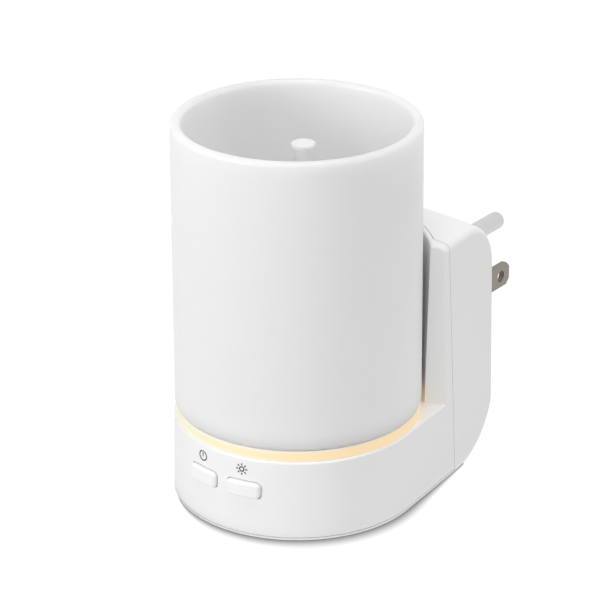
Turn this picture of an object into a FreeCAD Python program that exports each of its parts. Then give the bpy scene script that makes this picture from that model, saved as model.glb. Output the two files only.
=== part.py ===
# Plug-in wax melt warmer: a lift-off cup on a D-shaped base whose back rises into
# a tower, with a glowing ring under the cup, two push buttons and a wall plug.
#
# Frame: +Z up, origin on the cup's axis at the underside. The buttons face -Y,
# the wall plug points along +Y. All lengths are millimetres.
import FreeCAD
import Part
import math
import os

# Housing: outer shape
base_radius = 32.6
side_draft_degrees = 1.15
side_taper_degrees = 4.5
base_top_z = 21.5
tower_rise = 45.8
tower_crown_radius = 220.0
tower_depth = 16.9
rear_corner_radius = 13.5
rear_foot_radius = 20.0
tower_edge_radius = 2.0
front_edge_radius = 0.6
wall = 1.8
overrun = 5.0

# Housing: the hollow front of the tower that goes round the cup
cradle_clearance = 1.0
cradle_flare = 0.9
cradle_wall = 1.2
wing_point_inset = 6.6
wing_point_outset = 0.6
wing_sweep_degrees = 24.0

# Housing: the parting line between front body and rear housing
seam_foot_setback = 7.0
seam_top_setback = 3.8
seam_gap = 0.2

# Bottom cover
cover_flange = 0.5
cover_thickness = 2.5
cover_clearance = 0.15
cover_post_radius = 2.4
cover_post_inset = 5.2
cover_post_degrees = 60.0
cover_rear_post_inset = 8.1
cover_rear_post_gap = 6.9
cover_screw_radius = 1.1
cover_screw_head_radius = 2.1
cover_screw_head = 1.2
cover_screw_length = 9.0
cover_recess = 1.4

# Cup
cup_setback = 0.7
cup_narrowing = 0.4
cup_height = 76.2
cup_wall = 2.7
cup_floor = 3.6
cup_foot_edge = 1.0
cup_rim_edge = 1.2
cup_floor_corner = 4.0

# Post that stands in the cup
post_x = 1.3
post_y = 0.95
post_radius = 2.65
post_head_radius = 3.1
post_head = 1.2
post_head_edge = 0.35
post_top_depth = 6.3
post_boss_radius = 4.6
post_boss = 4.5
post_socket = 3.0
post_clearance = 0.05

# Light ring and its light board
ring_setback = 0.2
ring_width = 7.6
ring_room = 3.0
ring_cup_gap = 0.1
ring_edge = 0.3
ring_peg_radius = 1.4
ring_peg_clearance = 0.1
ring_peg_angles = (-30.0, 30.0, 150.0, -150.0)
light_inset = 3.4
light_count = 12
light_hole_radius = 1.9
light_board_overhang = 1.1
light_board_clearance = 0.8
light_board_thickness = 1.2
light_board_drop = 1.4
light_board_boss_radius = 2.1
light_board_screw_angles = (90.0, -90.0, 180.0)
light_board_screw_radius = 0.8
light_board_screw_head_radius = 1.5
light_board_screw_head = 1.0
led_length = 3.5
led_width = 2.8
led_height = 0.8

# Heater stack under the cup
plate_side_gap = 0.9
plate_thickness = 1.5
stud_radius = 2.4
stud_inset = 5.5
stud_count = 3
opening_inset = 0.7
holder_clearance = 0.2
holder_flange = 0.4
holder_ledge = 1.0
holder_rim = 1.2
insulator_gap = 7.0
insulator_thickness = 0.7
element_inset = 1.0
clamp_overlap = 1.6
clamp_thickness = 0.8
heater_screw_radius = 1.2
heater_screw_head_radius = 2.3
heater_screw_head = 1.2
heater_screw_length = 3.2
fuse_radius = 2.0
fuse_length = 11.0
fuse_tail_radius = 0.4
fuse_tail = 3.0
fuse_y = -9.5
fuse_gap = 0.1
clip_thickness = 0.5
clip_width = 4.0
clip_foot = 3.2

# Buttons, their switches and the control board
button_x = 6.2
button_drop = 8.45
button_width = 9.1
button_height = 4.3
button_corner = 1.2
button_edge = 0.8
button_stand = 1.1
button_travel = 0.6
button_clearance = 0.2
button_lip_x = 0.9
button_lip_z = 0.6
button_lip_gap = 0.3
button_depth = 6.0
switch_size = 6.0
switch_depth = 3.4
switch_gap = 1.2
plunger_radius = 1.6
plunger_length = 2.4
plunger_clearance = 0.08
plunger_end_room = 0.4
board_thickness = 1.6
control_board_half_width = 16.0
control_board_foot_gap = 0.4
control_board_top_gap = 0.4
board_slot_clearance = 0.05
slot_block_width = 3.0
slot_block_wall = 1.9
slot_block_height = 4.5

# Power board and what it carries
power_board_left_gap = 1.0
power_board_right_gap = 3.0
power_board_drop = 15.5
power_board_rise = 14.5
power_board_room = 3.6
power_post_radius = 2.4
power_post_inset_x = 3.0
power_post_drop = 1.5
power_post_rise = 6.5
power_screw_radius = 0.9
power_screw_head_radius = 1.8
power_screw_head = 1.3
power_screw_length = 6.0
transformer_x = -10.0
transformer_drop = 11.0
transformer_size = 12.0
transformer_depth = 10.0
transformer_core = 4.0
capacitor_x = 7.0
capacitor_radius = 3.5
capacitor_length = 10.0
mains_fuse_x = -4.0
mains_fuse_rise = 10.0
mains_fuse_radius = 1.4
mains_fuse_length = 8.0
triac_rise = 3.0
triac_size = 9.0
triac_depth = 2.8

# Plug: the flat blades and the round pin of a standard grounded wall plug
plug_inset = 17.1
blade_depth = 24.9
blade_spacing = 12.7
blade_width = 6.35
blade_thickness = 1.52
blade_length = 15.9
blade_chamfer = 1.4
blade_hole_radius = 1.6
blade_hole_from_face = 11.7
pin_above_blades = 11.9
pin_radius = 2.38
pin_length = 21.5
pin_root_radius = 3.0
plug_tail = 2.5
plug_margin_x = 1.6
plug_margin_z = 2.0
plug_corner = 2.0
plug_depth = 6.0
plug_clearance = 0.1
moulded_clearance = 0.03
tab_width = 6.0
tab_height = 6.5
tab_thickness = 1.7
plug_screw_radius = 0.9
plug_screw_head_radius = 1.8
plug_screw_head = 1.3
plug_screw_length = 4.0

# Screws that join the rear housing to the front body
housing_screw_inset = 12.6
housing_screw_rise = 6.5
housing_screw_depth = 20.3
housing_boss_radius = 3.0
housing_boss_gap = 0.2
housing_post_radius = 3.4
housing_post = 2.9
housing_screw_radius = 1.2
housing_screw_head_radius = 2.3
housing_screw_head = 1.6
housing_screw_length = 11.0
housing_recess = 2.4

# Fits shared by all screws and leads
thread_clearance = 0.05
through_clearance = 0.3
recess_clearance = 0.3
pilot_room = 0.8

# Leads inside the housing
lead_radius = 0.75
lead_bend_share = 0.45
heater_lead_x = 2.5
heater_lead_inset = 5.0
heater_lead_drop = 8.0
lead_hole_clearance = 0.3
light_lead_radius = 0.55
light_lead_x = 12.6
light_lead_spacing = 2.0
light_lead_count = 2
light_lead_inset = 2.3
light_lead_drop = 12.9
mains_lead_drop = 6.225
mains_lead_inset = 4.0
ribbon_width = 6.0
ribbon_thickness = 0.8
ribbon_z = 6.5
ribbon_rest_y = 8.0
ribbon_rest_length = 4.0

# Worked out from the sizes above: the housing and the cup
rear_y = base_radius + tower_depth
tower_top_z = base_top_z + tower_rise
cup_foot_radius = base_radius - cup_setback
cup_rim_radius = cup_foot_radius - cup_narrowing
cup_foot_z = base_top_z + ring_room
cup_rim_z = cup_foot_z + cup_height
post_top_z = cup_rim_z - post_top_depth
cradle_foot_radius = cup_foot_radius + cradle_clearance
cradle_top_radius = cradle_foot_radius + cradle_flare
wing_point_x = base_radius - wing_point_inset
wing_point_y = math.sqrt((cradle_foot_radius + wing_point_outset) ** 2 - wing_point_x ** 2)
seam_foot_y = wing_point_y + seam_foot_setback
seam_top_y = wing_point_y + seam_top_setback
cover_post_circle = base_radius - cover_post_inset
cover_rear_post_x = base_radius - cover_rear_post_inset
cover_rear_post_y = seam_foot_y - cover_rear_post_gap
housing_screw_x = base_radius - housing_screw_inset
housing_screw_low_z = base_top_z + housing_screw_rise
housing_screw_high_z = tower_top_z - housing_screw_depth
plug_x = base_radius - plug_inset
blade_z = tower_top_z - blade_depth

# Worked out: the rings and discs under the cup
ring_radius = cup_foot_radius - ring_setback
ring_inner_radius = ring_radius - ring_width
light_circle = ring_inner_radius + light_inset
light_board_inner_radius = ring_inner_radius - light_board_overhang
opening_radius = ring_inner_radius - opening_inset
plate_radius = opening_radius - plate_side_gap
holder_flange_radius = opening_radius + holder_flange
holder_inner_radius = plate_radius - holder_ledge
stud_circle = plate_radius - stud_inset
insulator_radius = stud_circle - insulator_gap
element_radius = insulator_radius - element_inset
clamp_radius = opening_radius + clamp_overlap

# Worked out: the buttons and the boards
button_z = base_top_z - button_drop
button_back_y = button_depth - base_radius
control_board_front_y = button_back_y + switch_gap + switch_depth
power_board_x0 = housing_boss_radius + power_board_left_gap - housing_screw_x
power_board_x1 = housing_screw_x - housing_boss_radius - power_board_right_gap
power_board_z0 = base_top_z - power_board_drop
power_board_z1 = base_top_z + power_board_rise
power_board_front_y = cradle_foot_radius + wall + power_board_room
power_post_low_z = base_top_z - power_post_drop
power_post_high_z = base_top_z + power_post_rise
transformer_z = base_top_z - transformer_drop
capacitor_z = transformer_z
mains_fuse_z = base_top_z + mains_fuse_rise
triac_x = (power_board_x0 + power_board_x1) / 2
triac_z = base_top_z + triac_rise
heater_lead_y = element_radius - heater_lead_inset
heater_lead_z = base_top_z - heater_lead_drop
light_lead_z = base_top_z - light_lead_drop
mains_lead_z = blade_z - blade_width / 2 - mains_lead_drop
mains_lead_near_x = power_board_x1 - mains_lead_inset

# Worked out: slopes, levels and what is left
draft_slope = math.tan(math.radians(side_draft_degrees))
taper_sine = math.sin(math.radians(side_taper_degrees))
taper_cosine = math.cos(math.radians(side_taper_degrees))
wing_slope = math.tan(math.radians(wing_sweep_degrees))
panel_z = base_top_z - wall
front_foot_z = cover_flange + seam_gap
far = 2 * (base_radius + rear_y)
plate_foot_z = cup_foot_z - plate_thickness
clamp_z = panel_z - clamp_thickness
light_board_z = panel_z - light_board_drop - light_board_thickness
rear_inner_y = rear_y - wall
switch_front_y = control_board_front_y - switch_depth
housing_boss_end_y = rear_inner_y - housing_post - housing_boss_gap
plug_inner_y = rear_y - plug_depth
plug_half_width = blade_spacing / 2 + blade_thickness / 2 + plug_margin_x
plug_z0 = blade_z - blade_width / 2 - plug_margin_z
pin_z = blade_z + pin_above_blades
plug_z1 = pin_z + pin_radius + plug_margin_z
tab_x = plug_x - plug_half_width - tab_width / 2
button_sides = (-1, 1)

vector = FreeCAD.Vector
up = vector(0, 0, 1)
rearward = vector(0, 1, 0)
rightward = vector(1, 0, 0)


# Plain shapes
def box(x0, x1, y0, y1, z0, z1):
    return Part.makeBox(x1 - x0, y1 - y0, z1 - z0, vector(x0, y0, z0))


def cylinder(radius, x, y, z0, z1):
    return Part.makeCylinder(radius, z1 - z0, vector(x, y, z0), up)


def cylinder_y(radius, x, z, y0, y1):
    return Part.makeCylinder(radius, y1 - y0, vector(x, y0, z), rearward)


def cylinder_x(radius, y, z, x0, x1):
    return Part.makeCylinder(radius, x1 - x0, vector(x0, y, z), rightward)


def prism(points, travel):
    wire = Part.makePolygon(points + [points[0]])
    return Part.Face(wire).extrude(travel)


def revolved(edges):
    face = Part.Face(Part.Wire(edges))
    return face.revolve(vector(0, 0, 0), up, 360)


def line(start, end):
    return Part.LineSegment(start, end).toShape()


def arc(start, centre, end):
    # The short arc about a centre from one point to another.
    outward = (start - centre).normalize() + (end - centre).normalize()
    middle = centre + outward.normalize() * (start - centre).Length
    return Part.Arc(start, middle, end).toShape()


def rounded_block_y(x, z, width, height, corner, y0, y1):
    block = box(x - width / 2, x + width / 2, y0, y1, z - height / 2, z + height / 2)
    corners = [e for e in block.Edges if abs(e.tangentAt(e.FirstParameter).y) > 1 / 2]
    return block.makeFillet(corner, corners)


def merged(shapes):
    whole = shapes[0]
    for shape in shapes[1:]:
        whole = whole.fuse(shape)
    return whole.removeSplitter()


def without(shape, tools):
    for tool in tools:
        shape = shape.cut(tool)
    return shape


def polar(radius, degrees):
    # Angles run from the front centreline towards +X.
    angle = math.radians(degrees)
    return radius * math.sin(angle), -radius * math.cos(angle)


def mirrored(shape):
    return shape.mirror(vector(0, 0, 0), rightward)


def solids_of(shape):
    return shape.Solids[0] if len(shape.Solids) == 1 else Part.makeCompound(shape.Solids)


# Outer shape of the housing
def radius_at(z, inset):
    return base_radius - draft_slope * z - inset


def side_x(y, z, inset):
    return (radius_at(z, inset) - y * taper_sine) / taper_cosine


def drafted_d(inset, z0, z1, y_end):
    # A round front that runs on into two side planes, which close in rearwards.
    round_front = Part.makeCone(radius_at(z0, inset), radius_at(z1, inset), z1 - z0, vector(0, 0, z0))
    levels = []
    for z in (z0, z1):
        y_start = radius_at(z, inset) * taper_sine
        x_start = radius_at(z, inset) * taper_cosine
        x_end = side_x(y_end, z, inset)
        levels.append([vector(-x_start, y_start, z), vector(x_start, y_start, z),
                       vector(x_end, y_end, z), vector(-x_end, y_end, z)])
    low, high = levels
    faces = [low, high]
    for i in range(len(low)):
        j = (i + 1) % len(low)
        faces.append([low[i], low[j], high[j], high[i]])
    shell = Part.Shell([Part.Face(Part.makePolygon(f + [f[0]])) for f in faces])
    return merged([round_front, Part.Solid(shell)])


def crowned_block(inset):
    # The tapered block under the slightly crowned top, with a round top rear corner.
    crown = cylinder_y(tower_crown_radius - inset, 0, tower_top_z - tower_crown_radius, -far, rear_y - inset)
    crown = crown.makeFillet(rear_corner_radius - inset, [e for e in crown.Edges if e.CenterOfMass.y > 0])
    return drafted_d(inset, 0, tower_top_z + overrun, rear_y + overrun).common(crown)


def low_corner(inset, bottom_z):
    # Seen from the side: all that lies above the underside and its round rear corner.
    y = rear_y - inset
    r = rear_foot_radius - inset
    centre = vector(-far, y - r, bottom_z + r)
    start = vector(-far, -far, bottom_z)
    flat = vector(-far, y - r, bottom_z)
    upright = vector(-far, y, bottom_z + r)
    high = vector(-far, y, far)
    end = vector(-far, -far, far)
    edges = [line(start, flat), arc(flat, centre, upright), line(upright, high), line(high, end), line(end, start)]
    return Part.Face(Part.Wire(edges)).extrude(rightward * (2 * far))


def envelope():
    block = crowned_block(0)
    rim = [e for e in block.Edges if e.CenterOfMass.y > seam_foot_y / 2 and e.CenterOfMass.z > rear_corner_radius
           and abs(e.CenterOfMass.x) > base_radius / 2]
    return block.makeFillet(tower_edge_radius, rim).common(low_corner(0, 0))


def cradle_cone(extra, z0, z1):
    slope = (cradle_top_radius - cradle_foot_radius) / (tower_top_z - base_top_z)
    low = cradle_foot_radius + slope * (z0 - base_top_z) + extra
    high = cradle_foot_radius + slope * (z1 - base_top_z) + extra
    return Part.makeCone(low, high, z1 - z0, vector(0, 0, z0))


def front_void(round_wall, flat_wall):
    # The space above the base and in front of the tower, grown by the walls round it.
    z0 = base_top_z - flat_wall
    z1 = tower_top_z + overrun
    shift = wing_point_y - wing_slope * wing_point_x + flat_wall / math.cos(math.radians(wing_sweep_degrees))
    wing = prism([vector(0, -far, z0), vector(far, -far, z0), vector(far, wing_slope * far + shift, z0),
                  vector(0, shift, z0)], up * (z1 - z0))
    return merged([cradle_cone(round_wall, z0, z1), wing, mirrored(wing)])


def softened_block(skin, hollow):
    # The housing with its hollow front, every outside edge of the hollow rounded.
    block = skin.cut(hollow)
    edges = []
    for edge in block.Edges:
        middle = Part.Vertex(edge.valueAt((edge.FirstParameter + edge.LastParameter) / 2))
        on_skin = skin.Shells[0].distToShape(middle)[0] < front_edge_radius / 2
        if on_skin and hollow.distToShape(middle)[0] < front_edge_radius / 2:
            edges.append(edge)
    return block.makeFillet(front_edge_radius, edges)


def seam_y(z):
    return seam_foot_y + (seam_top_y - seam_foot_y) * z / tower_top_z


def front_zone(gap):
    # Everything in front of the parting line, and the wall round the cradle.
    z0 = -overrun
    z1 = tower_top_z + overrun
    slab = prism([vector(-far, -far, z0), vector(-far, seam_y(z0) + gap, z0),
                  vector(-far, seam_y(z1) + gap, z1), vector(-far, -far, z1)], rightward * (2 * far))
    return merged([slab, cradle_cone(cradle_wall + gap, panel_z, z1)])


def cavity():
    inner = crowned_block(wall).common(low_corner(wall, wall))
    mouth = drafted_d(wall, -overrun, 2 * wall, seam_foot_y + seam_gap)
    mouth = mouth.common(box(-far, far, -far, seam_foot_y + seam_gap, -overrun, 2 * wall))
    return merged([inner, mouth]).cut(front_void(cradle_wall, wall))


# Places shared by several parts
def light_places():
    step = 360 / light_count
    return [step / 2 + step * i for i in range(light_count)]


def cover_post_places():
    x, y = polar(cover_post_circle, cover_post_degrees)
    return [(x, y), (-x, y), (cover_rear_post_x, cover_rear_post_y), (-cover_rear_post_x, cover_rear_post_y)]


def stud_places():
    return [polar(stud_circle, 360 * (i + 1 / 2) / stud_count) for i in range(stud_count)]


def housing_screw_places():
    return [(-housing_screw_x, housing_screw_low_z), (housing_screw_x, housing_screw_low_z),
            (-housing_screw_x, housing_screw_high_z)]


def power_post_places():
    xs = (power_board_x0 + power_post_inset_x, power_board_x1 - power_post_inset_x)
    return [(x, z) for x in xs for z in (power_post_low_z, power_post_high_z)]


def tab_places():
    return [(tab_x, blade_z), (tab_x, pin_z)]


def pointed_screw(radius, length, head_radius, head):
    # Stands on its head at the origin, shank upwards.
    return merged([cylinder(head_radius, 0, 0, -head, 0), cylinder(radius, 0, 0, 0, length)])


def screw_along(place, direction, radius, length, head_radius, head):
    screw = pointed_screw(radius, length, head_radius, head)
    screw.Placement = FreeCAD.Placement(place, FreeCAD.Rotation(up, direction))
    return screw


# Housing parts
def front_body():
    posts = []
    pilots = []
    for x, y in cover_post_places():
        posts.append(cylinder(cover_post_radius, x, y, cover_thickness, panel_z + wall / 2))
        depth = cover_thickness + cover_screw_length + pilot_room
        pilots.append(cylinder(cover_screw_radius + thread_clearance, x, y, 0, depth))
    for degrees in light_board_screw_angles:
        x, y = polar(light_circle, degrees)
        top = panel_z + wall / 2
        posts.append(cylinder(light_board_boss_radius, x, y, light_board_z + light_board_thickness, top))
        pilots.append(cylinder(light_board_screw_radius + thread_clearance, x, y, light_board_z, panel_z))
    for x, z in housing_screw_places():
        wall_y = math.sqrt(cradle_foot_radius ** 2 - x ** 2)
        posts.append(cylinder_y(housing_boss_radius, x, z, wall_y, housing_boss_end_y))
        tip_y = housing_boss_end_y - housing_screw_length - pilot_room
        pilots.append(cylinder_y(housing_screw_radius + thread_clearance, x, z, tip_y, rear_y))
    hollow = front_void(0, 0)
    shell = softened_block(envelope(), hollow).common(front_zone(0)).cut(cavity())
    body = merged([shell] + [post.cut(hollow) for post in posts])
    holes = pilots + [box(-far, far, -far, far, -overrun, front_foot_z)]
    holes.append(cylinder(opening_radius, 0, 0, panel_z - overrun / 2, base_top_z + overrun))
    for degrees in light_places():
        x, y = polar(light_circle, degrees)
        holes.append(cylinder(light_hole_radius, x, y, panel_z - wall / 2, base_top_z + overrun))
    for degrees in ring_peg_angles:
        x, y = polar(light_circle, degrees)
        holes.append(cylinder(ring_peg_radius + ring_peg_clearance, x, y, panel_z - wall / 2, base_top_z + overrun))
    for side in button_sides:
        holes.append(rounded_block_y(side * button_x, button_z, button_width + 2 * button_clearance,
                                     button_height + 2 * button_clearance, button_corner + button_clearance,
                                     -far / 2, button_back_y))
    return without(body, holes)


def rear_housing():
    shell = envelope().cut(front_zone(seam_gap)).cut(cavity())
    posts = []
    holes = []
    for x, z in housing_screw_places():
        posts.append(cylinder_y(housing_post_radius, x, z, rear_inner_y - housing_post,
                                rear_inner_y + wall / 2).common(envelope()))
        holes.append(cylinder_y(housing_screw_radius + through_clearance, x, z, 0, rear_y + overrun))
        holes.append(cylinder_y(housing_screw_head_radius + recess_clearance, x, z,
                                rear_y - housing_recess, rear_y + overrun))
    for x, z in power_post_places():
        start = power_board_front_y + board_thickness
        posts.append(cylinder_y(power_post_radius, x, z, start, rear_inner_y + wall / 2).common(envelope()))
        tip_y = power_board_front_y + power_screw_length + pilot_room
        holes.append(cylinder_y(power_screw_radius + thread_clearance, x, z, 0, tip_y))
    for x, z in tab_places():
        start = plug_inner_y + tab_thickness
        posts.append(cylinder_y(power_post_radius, x, z, start, rear_inner_y + wall / 2).common(envelope()))
        tip_y = plug_inner_y + plug_screw_length + pilot_room / 2
        holes.append(cylinder_y(plug_screw_radius + thread_clearance, x, z, 0, tip_y))
    holes.append(plug_block(plug_clearance, plug_inner_y - overrun))
    return without(merged([shell] + posts), holes)


def bottom_cover():
    flange = drafted_d(0, 0, cover_flange, seam_foot_y)
    flange = flange.common(box(-far, far, -far, seam_foot_y, 0, cover_flange))
    plate = drafted_d(wall + cover_clearance, 0, cover_thickness, seam_foot_y)
    plate = plate.common(box(-far, far, -far, seam_foot_y, 0, cover_thickness))
    blocks = []
    for side in button_sides:
        outer = side * control_board_half_width
        inner = side * (control_board_half_width - slot_block_width)
        blocks.append(box(min(outer, inner), max(outer, inner), control_board_front_y - slot_block_wall,
                          control_board_front_y + board_thickness + slot_block_wall,
                          cover_thickness / 2, cover_thickness + slot_block_height))
    blocks.append(box(-ribbon_width / 2, ribbon_width / 2, ribbon_rest_y, ribbon_rest_y + ribbon_rest_length,
                      cover_thickness / 2, ribbon_z))
    cuts = [box(-far, far, control_board_front_y - board_slot_clearance,
                control_board_front_y + board_thickness + board_slot_clearance,
                cover_thickness + control_board_foot_gap, far)]
    for x, y in cover_post_places():
        cuts.append(cylinder(cover_screw_radius + through_clearance, x, y, 0, cover_thickness))
        cuts.append(cylinder(cover_screw_head_radius + recess_clearance, x, y, 0, cover_recess))
    return without(merged([flange, plate] + blocks), cuts)


def cover_screws():
    return Part.makeCompound([
        screw_along(vector(x, y, cover_recess), up, cover_screw_radius,
                    cover_thickness - cover_recess + cover_screw_length, cover_screw_head_radius, cover_screw_head)
        for x, y in cover_post_places()])


def housing_screws():
    seat_y = rear_y - housing_recess
    length = seat_y - housing_boss_end_y + housing_screw_length
    return Part.makeCompound([
        screw_along(vector(x, seat_y, z), rearward * -1, housing_screw_radius, length,
                    housing_screw_head_radius, housing_screw_head)
        for x, z in housing_screw_places()])


# Light ring and its board
def light_ring():
    top_z = cup_foot_z - ring_cup_gap
    ring = cylinder(ring_radius, 0, 0, base_top_z, top_z)
    ring = ring.makeFillet(ring_edge, [e for e in ring.Edges if e.CenterOfMass.z > top_z - ring_edge
                                       and e.Length > ring_radius])
    ring = ring.cut(cylinder(ring_inner_radius, 0, 0, base_top_z, top_z))
    pegs = [cylinder(ring_peg_radius, *polar(light_circle, degrees), panel_z, base_top_z + ring_edge)
            for degrees in ring_peg_angles]
    return merged([ring] + pegs)


def light_board():
    radius = radius_at(light_board_z, wall) - light_board_clearance
    top_z = light_board_z + light_board_thickness
    board = cylinder(radius, 0, 0, light_board_z, top_z)
    cuts = [cylinder(light_board_inner_radius, 0, 0, light_board_z, top_z)]
    for x, y in cover_post_places():
        cuts.append(cylinder(cover_post_radius + through_clearance, x, y, light_board_z, top_z))
    for degrees in light_board_screw_angles:
        x, y = polar(light_circle, degrees)
        cuts.append(cylinder(light_board_screw_radius + through_clearance / 2, x, y, light_board_z, top_z))
    return without(board, cuts)


def leds():
    z = light_board_z + light_board_thickness
    chips = []
    for degrees in light_places():
        chip = box(-led_length / 2, led_length / 2, -light_circle - led_width / 2,
                   -light_circle + led_width / 2, z, z + led_height)
        chip.rotate(vector(0, 0, 0), up, degrees)
        chips.append(chip)
    return Part.makeCompound(chips)


def light_board_screws():
    length = panel_z - light_board_z - pilot_room / 2
    return Part.makeCompound([
        screw_along(vector(*polar(light_circle, degrees), light_board_z), up, light_board_screw_radius,
                    length, light_board_screw_head_radius, light_board_screw_head)
        for degrees in light_board_screw_angles])


# Heater stack
def heat_plate():
    shapes = [cylinder(plate_radius, 0, 0, plate_foot_z, cup_foot_z)]
    holes = []
    for x, y in stud_places():
        shapes.append(cylinder(stud_radius, x, y, panel_z, plate_foot_z + plate_thickness / 2))
        depth = panel_z + heater_screw_length
        holes.append(cylinder(heater_screw_radius + thread_clearance, x, y, panel_z, depth))
    return without(merged(shapes), holes)


def heater_holder():
    skirt = cylinder(opening_radius - holder_clearance, 0, 0, panel_z, base_top_z)
    flange = cylinder(holder_flange_radius, 0, 0, base_top_z, plate_foot_z + holder_rim)
    seat = cylinder(plate_radius + holder_clearance, 0, 0, plate_foot_z, cup_foot_z)
    bore = cylinder(holder_inner_radius, 0, 0, panel_z, cup_foot_z)
    return without(merged([skirt, flange]), [seat, bore])


def heater_lead_places():
    return [(side * heater_lead_x, heater_lead_y) for side in button_sides]


def lead_holes(z0, z1):
    return [cylinder(lead_radius + lead_hole_clearance, x, y, z0, z1) for x, y in heater_lead_places()]


def heater_insulator():
    z1 = panel_z + insulator_thickness
    return without(cylinder(insulator_radius, 0, 0, panel_z, z1), lead_holes(panel_z, z1))


def heater_element():
    return cylinder(element_radius, 0, 0, panel_z + insulator_thickness, plate_foot_z)


def heater_clamp():
    holes = lead_holes(clamp_z, panel_z)
    for x, y in stud_places():
        holes.append(cylinder(heater_screw_radius + through_clearance / 2, x, y, clamp_z, panel_z))
    return without(cylinder(clamp_radius, 0, 0, clamp_z, panel_z), holes)


def heater_screws():
    length = clamp_thickness + heater_screw_length - pilot_room / 2
    return Part.makeCompound([
        screw_along(vector(x, y, clamp_z), up, heater_screw_radius, length,
                    heater_screw_head_radius, heater_screw_head)
        for x, y in stud_places()])


def thermal_fuse():
    z = clamp_z - fuse_gap - fuse_radius
    body = cylinder_x(fuse_radius, fuse_y, z, -fuse_length / 2, fuse_length / 2)
    tails = cylinder_x(fuse_tail_radius, fuse_y, z, -fuse_length / 2 - fuse_tail, fuse_length / 2 + fuse_tail)
    return merged([body, tails])


def fuse_clip():
    z = clamp_z - fuse_gap - fuse_radius
    inner = fuse_radius + fuse_gap
    outer = inner + clip_thickness
    half = clip_width / 2
    band = cylinder_x(outer, fuse_y, z, -half, half).common(box(-half, half, fuse_y - outer, fuse_y + outer,
                                                                z - outer, z))
    walls = box(-half, half, fuse_y - outer, fuse_y + outer, z, clamp_z)
    feet = box(-half, half, fuse_y - outer - clip_foot, fuse_y + outer + clip_foot,
               clamp_z - clip_thickness, clamp_z)
    room = [cylinder_x(inner, fuse_y, z, -half, half), box(-half, half, fuse_y - inner, fuse_y + inner, z, clamp_z)]
    return without(merged([band, walls, feet]), room)


# Buttons, plungers, switches and control board
def button(side):
    x = side * button_x
    face_radius = radius_at(button_z, 0) + button_stand
    lip_radius = radius_at(button_z, wall) - button_lip_gap
    z0 = button_z - button_height
    z1 = button_z + button_height
    cap = rounded_block_y(x, button_z, button_width, button_height, button_corner, -far / 2, button_back_y)
    cap = cap.common(cylinder(face_radius, 0, 0, z0, z1))
    rim = [e for e in cap.Edges if all(math.isclose(math.hypot(v.X, v.Y), face_radius) for v in e.Vertexes)]
    cap = cap.makeFillet(button_edge, rim)
    lip = rounded_block_y(x, button_z, button_width + 2 * button_lip_x, button_height + 2 * button_lip_z,
                          button_corner, -far / 2, button_back_y)
    lip = lip.common(cylinder(lip_radius, 0, 0, z0, z1))
    return merged([cap, lip])


def plunger(side):
    return cylinder_y(plunger_radius, side * button_x, button_z, button_back_y, button_back_y + plunger_length)


def switch(side):
    x = side * button_x
    body = box(x - switch_size / 2, x + switch_size / 2, switch_front_y, control_board_front_y,
               button_z - switch_size / 2, button_z + switch_size / 2)
    end_y = button_back_y + plunger_length + button_travel + plunger_end_room
    return body.cut(cylinder_y(plunger_radius + plunger_clearance, x, button_z, switch_front_y, end_y))


def control_board():
    return box(-control_board_half_width, control_board_half_width, control_board_front_y,
               control_board_front_y + board_thickness, cover_thickness + control_board_foot_gap,
               light_board_z - control_board_top_gap)


# Power board and its components
def power_board():
    y1 = power_board_front_y + board_thickness
    board = box(power_board_x0, power_board_x1, power_board_front_y, y1, power_board_z0, power_board_z1)
    return without(board, [cylinder_y(power_screw_radius + through_clearance / 2, x, z, power_board_front_y, y1)
                           for x, z in power_post_places()])


def power_board_screws():
    return Part.makeCompound([
        screw_along(vector(x, power_board_front_y, z), rearward, power_screw_radius, power_screw_length,
                    power_screw_head_radius, power_screw_head)
        for x, z in power_post_places()])


def transformer():
    half = transformer_size / 2
    waist = half - transformer_core / 2
    y0 = power_board_front_y - transformer_depth
    outer = box(transformer_x - half, transformer_x + half, y0, power_board_front_y,
                transformer_z - half, transformer_z + half)
    left = box(transformer_x - half, transformer_x - waist, y0 + transformer_core / 2,
               power_board_front_y - transformer_core / 2, transformer_z - waist, transformer_z + waist)
    right = left.mirror(vector(transformer_x, 0, 0), rightward)
    return without(outer, [left, right])


def filter_capacitor():
    return cylinder_y(capacitor_radius, capacitor_x, capacitor_z, power_board_front_y - capacitor_length,
                      power_board_front_y)


def mains_fuse():
    half = mains_fuse_length / 2
    y = power_board_front_y - mains_fuse_radius
    body = cylinder_x(mains_fuse_radius, y, mains_fuse_z, mains_fuse_x - half, mains_fuse_x + half)
    foot = box(mains_fuse_x - half, mains_fuse_x + half, y, power_board_front_y,
               mains_fuse_z - mains_fuse_radius / 2, mains_fuse_z + mains_fuse_radius / 2)
    return merged([body, foot])


def triac():
    half = triac_size / 2
    return box(triac_x - half, triac_x + half, power_board_front_y - triac_depth, power_board_front_y,
               triac_z - half, triac_z + half)


# Plug
def plug_block(grow, y0):
    centre_z = (plug_z0 + plug_z1) / 2
    return rounded_block_y(plug_x, centre_z, 2 * (plug_half_width + grow), plug_z1 - plug_z0 + 2 * grow,
                           plug_corner + grow, y0, rear_y + overrun)


def plug_metal(grow):
    shapes = [cylinder_y(pin_root_radius + grow, plug_x, pin_z, plug_inner_y - plug_tail, rear_y + overrun)]
    for side in button_sides:
        x = plug_x + side * blade_spacing / 2
        shapes.append(box(x - blade_thickness / 2 - grow, x + blade_thickness / 2 + grow,
                          plug_inner_y - plug_tail, rear_y + overrun,
                          blade_z - blade_width / 2 - grow, blade_z + blade_width / 2 + grow))
    return shapes


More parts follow.
